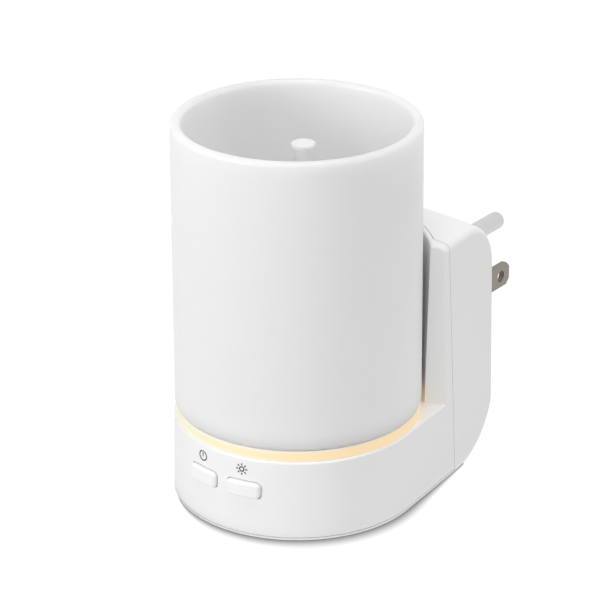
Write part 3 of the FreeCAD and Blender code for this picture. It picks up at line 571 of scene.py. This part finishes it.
def board_finish(name, upright):
    """Green lacquer over printed tracks, with tinned pads."""
    made = finish(name, LACQUER, 0.35, mottle=400.0, shade=0.3)
    tree = made.node_tree
    place = node(tree, "ShaderNodeTexCoord")
    mapping = node(tree, "ShaderNodeMapping", Rotation=(math.pi / 2 if upright else 0, 0, 0))
    link(tree, place, "Object", mapping, "Vector")
    tracks = node(tree, "ShaderNodeGroup", node_tree=traces_group(), Track_Scale=TRACK_SCALE)
    link(tree, mapping, "Vector", tracks, "Vector")
    lay_over(tree, tracks, "Tracks", LACQUER_OVER_TRACK)
    lay_over(tree, tracks, "Pads", TINNED)
    return made


def chip_finish():
    """A white light chip with a yellow window on top."""
    made = finish("light chip", (0.88, 0.87, 0.82), 0.35, shade=0.04)
    tree = made.node_tree
    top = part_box("leds")[1].z
    place = node(tree, "ShaderNodeTexCoord")
    split = node(tree, "ShaderNodeSeparateXYZ")
    link(tree, place, "Object", split, "Vector")
    window = ranged(tree, split, "Z", top - CHIP_WINDOW, top)
    lay_over(tree, window, "Result", CHIP_YELLOW)
    return made


def glow_and_painted_light_finish(settings, right):
    """The frosted ring, lit from inside. Its colour and glow carry painted light: paler and
    yellower at its left, where the front lamp falls, and warmer towards its right. At its top and
    bottom edges the glow fades to a paler, dimmer colour, most of all at its left: painted light
    and shade."""
    made = finish("frosted lit ring with painted light", settings.painted_edge_tint, 0.5)
    tree = made.node_tree
    shader = tree.nodes["Principled BSDF"]
    low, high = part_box("light_ring")
    place = node(tree, "ShaderNodeTexCoord")
    split = node(tree, "ShaderNodeSeparateXYZ")
    link(tree, place, "Object", split, "Vector")
    side = along(tree, place, "Object", right)
    # Painted light: how far from the ring's left end, the side that the front lamp lights, towards
    # its warmer middle
    painted_light_side = ranged(tree, side, "Value", low.x, 0, interpolation_type="SMOOTHSTEP")
    # How high the painted light and shade at the top and bottom edges reach, wider at the left
    width = ranged(tree, side, "Value", low.x, high.x / 2, settings.painted_fade_left,
                   settings.painted_fade_right)
    lit = node(tree, "ShaderNodeMath", operation="MINIMUM")
    for i, (edge, away) in enumerate(((high.z, -1), (high.z - settings.ring_shown, 1))):
        depth = node(tree, "ShaderNodeMath", operation="MULTIPLY_ADD")
        link(tree, split, "Z", depth, 0)
        depth.inputs[1].default_value = away
        depth.inputs[2].default_value = -away * edge
        share = node(tree, "ShaderNodeMath", operation="DIVIDE", use_clamp=True)
        link(tree, depth, "Value", share, 0)
        link(tree, width, "Result", share, 1)
        link(tree, share, "Value", lit, i)
    # The colour and the glow, each blended from the painted light at the ends and faded to the
    # painted edge colour
    colours = ((settings.painted_light_tint_left, settings.painted_light_tint_right, settings.painted_edge_tint, "Base Color"),
               (settings.painted_light_glow_left, settings.painted_light_glow_right, settings.painted_edge_glow, "Emission Color"))
    for left_end, right_end, edge, socket in colours:
        hue = blend(tree, left_end, right_end)
        link(tree, painted_light_side, "Result", hue, "Factor")
        whole = blend(tree, edge, edge)
        link(tree, lit, "Value", whole, "Factor")
        link(tree, hue, COLOR_RESULT, whole, COLOR_B)
        link(tree, whole, COLOR_RESULT, shader, socket)
    shader.inputs["Emission Strength"].default_value = settings.glow_strength
    return made


def translucent(material, reach, weight):
    """Lets some light through a thin glazed wall."""
    shader = material.node_tree.nodes["Principled BSDF"]
    shader.inputs["Subsurface Weight"].default_value = weight
    shader.inputs["Subsurface Scale"].default_value = reach
    shader.inputs["Subsurface Radius"].default_value = (1.0, 1.0, 1.0)


def cup_finish(settings):
    """White glaze, painted lighter inside the cup than outside: painted light in place of the shade
    inside the deep cup.
    """
    made = finish("white glazed cup, painted lighter inside", settings.cup, 0.38, grain=900.0, mottle=60.0, depth=0.01,
                  shade=0.012, specks=0.012)
    tree = made.node_tree
    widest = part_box("cup")[1].x
    radius = upright_radius(tree, node(tree, "ShaderNodeTexCoord"))
    # Painted light: a lighter colour inside the cup, from the rim's middle inwards
    painted_light_inside = ranged(tree, radius, "Value", widest - CUP_RIM_MIDDLE, widest - CUP_RIM_INSIDE)
    lay_over(tree, painted_light_inside, "Result", settings.cup_inside_painted_light)
    translucent(made, CUP_REACH, CUP_WEIGHT)
    return made


def dress(names, material):
    """Gives CAD nodes a finish."""
    for name in names:
        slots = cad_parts[name].material_slots
        if not slots:
            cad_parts[name].data.materials.append(material)
        for slot in slots:
            slot.material = material


# Operators, one for each group of pieces
class WARMER_OT_housing(bpy.types.Operator):
    """Finish the moulded housing and the plug insert"""
    bl_idname = "warmer.housing"
    bl_label = "Housing"

    def execute(self, context):
        colour = context.scene.warmer_finish.shell
        dress(("front_body", "rear_housing", "bottom_cover", "plug_insert"),
              finish("white moulded shell", colour, 0.42, shade=0.012, specks=0.01))
        return {"FINISHED"}


class WARMER_OT_cup(bpy.types.Operator):
    """Finish the cup and the post that stands in it"""
    bl_idname = "warmer.cup"
    bl_label = "Cup and post"

    def execute(self, context):
        settings = context.scene.warmer_finish
        dress(("cup",), cup_finish(settings))
        post = finish("white glazed post", settings.post, 0.34, grain=900.0, mottle=200.0,
                      depth=0.01, shade=0.012, specks=0.02)
        translucent(post, POST_REACH, POST_WEIGHT)
        dress(("centre_post",), post)
        return {"FINISHED"}


class WARMER_OT_buttons(bpy.types.Operator):
    """Finish the push buttons, plungers and switches"""
    bl_idname = "warmer.buttons"
    bl_label = "Buttons"

    def execute(self, context):
        colour = context.scene.warmer_finish.button
        dress(("power_button", "light_button"),
              finish("white gloss button", colour, 0.3, shade=0.01))
        dress(("power_plunger", "light_plunger", "power_switch", "light_switch"),
              finish("black switch plastic", (0.02, 0.02, 0.021), 0.5, shade=0.2, specks=0.1))
        return {"FINISHED"}


class WARMER_OT_light_ring(bpy.types.Operator):
    """Light the frosted ring, with painted light and shade on its colour and glow"""
    bl_idname = "warmer.light_ring"
    bl_label = "Light ring"

    def execute(self, context):
        turn = context.scene.warmer_stage.azimuth
        right = (math.cos(turn), math.sin(turn), 0)
        dress(("light_ring",), glow_and_painted_light_finish(context.scene.warmer_finish, right))
        return {"FINISHED"}


class WARMER_OT_symbols(bpy.types.Operator):
    """Print the power and light symbols above the buttons"""
    bl_idname = "warmer.symbols"
    bl_label = "Symbols"

    def execute(self, context):
        settings = context.scene.warmer_symbols
        ink = finish("dark grey ink", context.scene.warmer_finish.ink, 0.6, grain=4000.0,
                     mottle=900.0, shade=0.25)
        stroke = settings.stroke
        bm = bmesh.new()
        flat_arc(bm, settings.power_ring, stroke, POWER_GAP, 2 * math.pi - 2 * POWER_GAP,
                 POWER_RING_STEPS)
        bar_middle = settings.power_ring + stroke / 2 - settings.power_bar / 2
        flat_bar(bm, settings.power_bar, stroke, bar_middle, 0)
        wrapped_print(bm, settings.power_place, settings.level, settings.print_height)
        piece("power_symbol", bm, ink)
        bm = bmesh.new()
        flat_arc(bm, settings.sun_ring, stroke, 0, 2 * math.pi, SUN_RING_STEPS)
        ray = settings.ray_end - settings.ray_start
        for i in range(settings.rays):
            turn = 2 * math.pi * i / settings.rays
            flat_bar(bm, ray, stroke, settings.ray_start + ray / 2, turn)
        wrapped_print(bm, settings.light_place, settings.level, settings.print_height)
        piece("light_symbol", bm, ink)
        return {"FINISHED"}


class WARMER_OT_screws(bpy.types.Operator):
    """Make the screws that show, with their cross recesses, and finish the hidden ones"""
    bl_idname = "warmer.screws"
    bl_label = "Screws"

    def execute(self, context):
        settings = context.scene.warmer_screws
        steel = finish("zinc plated steel", (0.56, 0.56, 0.55), 0.34, metallic=1.0, grain=2400.0,
                       mottle=500.0, shade=0.12, rough_spread=0.16)
        low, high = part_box("cover_screws")
        front = (COVER_SCREW_CIRCLE * math.sin(COVER_SCREW_ANGLE),
                 -COVER_SCREW_CIRCLE * math.cos(COVER_SCREW_ANGLE))
        rear = (high.x - COVER_SCREW_HEAD_RADIUS, high.y - COVER_SCREW_HEAD_RADIUS)
        shank = high.z - low.z - COVER_SCREW_HEAD_HEIGHT
        parts = []
        for x, y in (front, rear):
            for side in (-1, 1):
                screw = cross_screw(COVER_SCREW_HEAD_RADIUS, COVER_SCREW_HEAD_HEIGHT,
                                    COVER_SCREW_SHANK_RADIUS, shank, settings)
                # The recesses don't all stand alike, so each screw has its own turn
                turn = Matrix.Rotation(x + side, 4, "Z")
                place = Matrix.Translation((side * x, y, low.z))
                parts.append((screw, place @ Matrix.Rotation(math.pi, 4, "X") @ turn))
        made = piece("cover_screw_set", joined(parts), steel)
        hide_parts("cover_screws")
        low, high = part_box("housing_screws")
        out_x = high.x - HOUSING_SCREW_HEAD_RADIUS
        low_z = low.z + HOUSING_SCREW_HEAD_RADIUS
        high_z = high.z - HOUSING_SCREW_HEAD_RADIUS
        shank = high.y - low.y - HOUSING_SCREW_HEAD_HEIGHT
        parts = []
        for i, (x, z) in enumerate(((-out_x, low_z), (out_x, low_z), (-out_x, high_z))):
            screw = cross_screw(HOUSING_SCREW_HEAD_RADIUS, HOUSING_SCREW_HEAD_HEIGHT,
                                HOUSING_SCREW_SHANK_RADIUS, shank, settings)
            turn = Matrix.Rotation(i, 4, "Z")
            place = Matrix.Translation((x, high.y, z))
            parts.append((screw, place @ Matrix.Rotation(-math.pi / 2, 4, "X") @ turn))
        made = piece("housing_screw_set", joined(parts), steel)
        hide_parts("housing_screws")
        dress(("light_board_screws", "heater_screws", "power_board_screws", "plug_screws"), steel)
        return {"FINISHED"}


class WARMER_OT_plug(bpy.types.Operator):
    """Finish the blades and the earth pin"""
    bl_idname = "warmer.plug"
    bl_label = "Plug"

    def execute(self, context):
        dress(("line_blade", "neutral_blade"),
              finish("dull nickel blade", (0.3, 0.28, 0.235), 0.42, metallic=1.0, grain=2600.0,
                     mottle=260.0, shade=0.14, rough_spread=0.18, stretch=DRAWN, specks=0.25,
                     bands=1400.0, groove=0.006, painted_groove_shade=0.06, across=ACROSS_Z))
        dress(("earth_pin",),
              finish("bright nickel pin", (0.66, 0.66, 0.66), 0.36, metallic=1.0, grain=2600.0,
                     mottle=260.0, shade=0.08, rough_spread=0.14, stretch=DRAWN, specks=0.1,
                     bands=1100.0, groove=0.006, painted_groove_shade=0.04, across=ACROSS_Y))
        return {"FINISHED"}


class WARMER_OT_heater(bpy.types.Operator):
    """Finish the warming plate and what is fixed below it"""
    bl_idname = "warmer.heater"
    bl_label = "Heater"

    def execute(self, context):
        dress(("heat_plate",),
              finish("turned aluminium", (0.72, 0.72, 0.73), 0.32, metallic=1.0, grain=1500.0,
                     mottle=120.0, shade=0.08, rough_spread=0.14, bands=700.0, groove=0.02,
                     painted_groove_shade=0.05))
        dress(("heater_holder",),
              finish("black heat resistant plastic", (0.025, 0.025, 0.026), 0.5, shade=0.2))
        dress(("heater_insulator",),
              finish("grey silicone sheet", (0.5, 0.47, 0.42), 0.7, shade=0.08, specks=0.12))
        dress(("heater_element",),
              finish("sintered element", (0.78, 0.75, 0.68), 0.75, shade=0.1, mottle=300.0,
                     specks=0.2))
        dress(("heater_clamp", "fuse_clip"),
              finish("pressed steel", (0.6, 0.6, 0.59), 0.36, metallic=1.0, mottle=150.0,
                     shade=0.1, rough_spread=0.15, bands=900.0, groove=0.004, painted_groove_shade=0.05,
                     across=ACROSS_X))
        dress(("thermal_fuse",),
              finish("satin fuse can", (0.74, 0.73, 0.7), 0.4, metallic=1.0, shade=0.08))
        return {"FINISHED"}


class WARMER_OT_electronics(bpy.types.Operator):
    """Finish the boards, their components and the leads"""
    bl_idname = "warmer.electronics"
    bl_label = "Electronics"

    def execute(self, context):
        dress(("light_board",), board_finish("flat board", False))
        dress(("control_board", "power_board"), board_finish("upright board", True))
        dress(("leds",), chip_finish())
        dress(("transformer",),
              finish("ferrite and tape", (0.16, 0.12, 0.03), 0.5, mottle=200.0, shade=0.4,
                     bands=260.0, groove=0.05, painted_groove_shade=0.85, across=ACROSS_Z))
        dress(("filter_capacitor",),
              finish("blue sleeve", (0.015, 0.03, 0.16), 0.35, shade=0.15, specks=0.2))
        dress(("mains_fuse",),
              finish("fuse body", (0.7, 0.68, 0.6), 0.35, shade=0.08, mottle=300.0, specks=0.15))
        dress(("triac",), finish("black package", (0.015, 0.015, 0.016), 0.55, shade=0.3))
        dress(("heater_leads", "mains_leads", "light_leads"),
              finish("lead insulation", (0.03, 0.03, 0.032), 0.5, shade=0.25))
        dress(("ribbon_cable",),
              finish("grey flat cable", (0.36, 0.36, 0.38), 0.45, shade=0.2, bands=393.0,
                     groove=0.2, painted_groove_shade=0.5, across=ACROSS_X))
        return {"FINISHED"}


class WARMER_OT_stage(bpy.types.Operator):
    """Set the floor, the lights and the camera"""
    bl_idname = "warmer.stage"
    bl_label = "Stage"

    def execute(self, context):
        settings = context.scene.warmer_stage
        bm = bmesh.new()
        bmesh.ops.create_circle(bm, cap_ends=True, radius=FLOOR_RADIUS, segments=FLOOR_SEGMENTS,
                                matrix=Matrix.Translation((0, 0, -settings.floor_gap)))
        floor = made_object("floor", bm, floor_material(settings))
        world_light(context.scene, settings)
        turn = settings.azimuth
        toward_camera = Vector((math.sin(turn), -math.cos(turn), 0))
        left = Vector((-math.cos(turn), -math.sin(turn), 0))
        target = Vector(settings.target)
        key = target + toward_camera * KEY_FORWARD + left * KEY_LEFT + Vector((0, 0, KEY_UP))
        top = target + toward_camera * TOP_FORWARD + Vector((0, 0, TOP_UP))
        area_light("key_light", key, target, KEY_WIDTH, settings.key)
        area_light("top_light", top, target, TOP_WIDTH, settings.top)
        forward = (-toward_camera * math.cos(settings.elevation)
                   - Vector((0, 0, math.sin(settings.elevation))))
        camera_data = bpy.data.cameras.new("camera")
        camera_data.lens = settings.lens
        camera = bpy.data.objects.new("camera", camera_data)
        camera.location = target - forward * settings.distance
        camera.rotation_mode = "QUATERNION"
        camera.rotation_quaternion = (forward.to_track_quat("-Z", "Y")
                                      @ Quaternion((0, 0, 1), settings.roll))
        context.scene.collection.objects.link(camera)
        context.scene.camera = camera
        context.scene.view_settings.view_transform = "Standard"
        return {"FINISHED"}


def eye_rays(tree):
    """The light path, and a value of 1 where the eye sees straight, by a gloss or through glass."""
    path = node(tree, "ShaderNodeLightPath")
    outside = node(tree, "ShaderNodeMath", operation="MAXIMUM")
    link(tree, path, "Is Camera Ray", outside, 0)
    link(tree, path, "Is Glossy Ray", outside, 1)
    eye = node(tree, "ShaderNodeMath", operation="MAXIMUM")
    link(tree, outside, "Value", eye, 0)
    link(tree, path, "Is Transmission Ray", eye, 1)
    return path, eye


def either_shader(tree, chooser, first, second):
    """One shader where a value is 0, and another where it is 1."""
    made = node(tree, "ShaderNodeMixShader")
    link(tree, chooser, "Value", made, 0)
    link(tree, first, 0, made, 1)
    link(tree, second, 0, made, 2)
    return made


def floor_material(settings):
    """White to the eye with a soft contact shadow, plain and pale to everything else. From below
    it is clear, and it lets light through to the underside that lies just above it."""
    made = bpy.data.materials.new("pale floor")
    made.use_nodes = True
    tree = made.node_tree
    tree.nodes.clear()
    out = node(tree, "ShaderNodeOutputMaterial")
    pale = node(tree, "ShaderNodeBsdfDiffuse", Color=PALE_FLOOR)
    place = node(tree, "ShaderNodeTexCoord")
    outward = node(tree, "ShaderNodeVectorMath", operation="NORMALIZE")
    link(tree, place, "Object", outward, 0)
    turn = settings.azimuth + settings.shadow_turn
    side = along(tree, outward, "Vector", (math.sin(turn), -math.cos(turn), 0))
    reach = ranged(tree, side, "Value", 0, 1, settings.shadow_side, settings.shadow_front)
    openness = node(tree, "ShaderNodeAmbientOcclusion", samples=OPENNESS_SAMPLES)
    link(tree, reach, "Result", openness, "Distance")
    tone = ranged(tree, openness, "AO", COVERED, OPEN, SHADOW_LEVEL, FLOOR_LEVEL)
    shine = node(tree, "ShaderNodeEmission")
    link(tree, tone, "Result", shine, "Strength")
    soft = node(tree, "ShaderNodeBsdfDiffuse", Color=SOFT_FLOOR)
    seen = node(tree, "ShaderNodeAddShader")
    link(tree, shine, 0, seen, 0)
    link(tree, soft, 0, seen, 1)
    path, eye = eye_rays(tree)
    above = either_shader(tree, eye, pale, seen)
    near = node(tree, "ShaderNodeMath", operation="LESS_THAN")
    near.inputs[1].default_value = settings.underside_reach
    link(tree, path, "Ray Length", near, 0)
    shape = node(tree, "ShaderNodeNewGeometry")
    open_to = node(tree, "ShaderNodeMath", operation="MAXIMUM")
    link(tree, near, "Value", open_to, 0)
    link(tree, shape, "Backfacing", open_to, 1)
    clear = node(tree, "ShaderNodeBsdfTransparent")
    whole = either_shader(tree, open_to, above, clear)
    link(tree, whole, 0, out, "Surface")
    return made


def world_light(scene, settings):
    """Light from all round but one dim side, and plain white where it is seen or mirrored."""
    world = bpy.data.worlds.new("studio")
    scene.world = world
    world.use_nodes = True
    tree = world.node_tree
    tree.nodes.clear()
    out = node(tree, "ShaderNodeOutputWorld")
    even = node(tree, "ShaderNodeBackground", Color=WHITE)
    white = node(tree, "ShaderNodeBackground", Color=WHITE, Strength=1.0)
    place = node(tree, "ShaderNodeTexCoord")
    turn = settings.azimuth - settings.dim_turn
    side = along(tree, place, "Generated", (-math.cos(turn), -math.sin(turn), 0))
    dim = ranged(tree, side, "Value", DIM_START, DIM_FULL, settings.sky,
                 settings.sky * settings.dim_share)
    link(tree, dim, "Result", even, "Strength")
    eye = eye_rays(tree)[1]
    link(tree, either_shader(tree, eye, even, white), 0, out, "Surface")


def area_light(name, place, target, size, power):
    """A round lamp that looks at its target."""
    data = bpy.data.lights.new(name, "AREA")
    data.shape = "DISK"
    data.size = size
    data.energy = power
    lamp = bpy.data.objects.new(name, data)
    lamp.location = place
    lamp.rotation_mode = "QUATERNION"
    lamp.rotation_quaternion = (target - place).to_track_quat("-Z", "Y")
    bpy.context.scene.collection.objects.link(lamp)


OPERATORS = (WARMER_OT_housing, WARMER_OT_cup, WARMER_OT_buttons, WARMER_OT_light_ring,
             WARMER_OT_symbols, WARMER_OT_screws, WARMER_OT_plug, WARMER_OT_heater,
             WARMER_OT_electronics, WARMER_OT_stage)
SETTINGS = {"warmer_symbols": SymbolSettings, "warmer_screws": ScrewSettings,
            "warmer_finish": FinishSettings, "warmer_stage": StageSettings}


class WARMER_PT_panel(bpy.types.Panel):
    """Lists the warmer's pieces"""
    bl_idname = "WARMER_PT_panel"
    bl_label = "Wax Melt Warmer"
    bl_space_type = "VIEW_3D"
    bl_region_type = "UI"
    bl_category = "Warmer"

    def draw(self, context):
        for name in SETTINGS:
            group = getattr(context.scene, name)
            for key in group.__annotations__:
                self.layout.prop(group, key)
        for operator in OPERATORS:
            self.layout.operator(operator.bl_idname)


def register():
    for kind in (*SETTINGS.values(), *OPERATORS, WARMER_PT_panel):
        bpy.utils.register_class(kind)
    for name, kind in SETTINGS.items():
        setattr(bpy.types.Scene, name, PointerProperty(type=kind))


def unregister():
    for name in SETTINGS:
        delattr(bpy.types.Scene, name)
    for kind in reversed((*SETTINGS.values(), *OPERATORS, WARMER_PT_panel)):
        bpy.utils.unregister_class(kind)


def main():
    register()
    for operator in OPERATORS:
        group, name = operator.bl_idname.split(".")
        getattr(getattr(bpy.ops, group), name)()


if __name__ == "__main__":
    main()
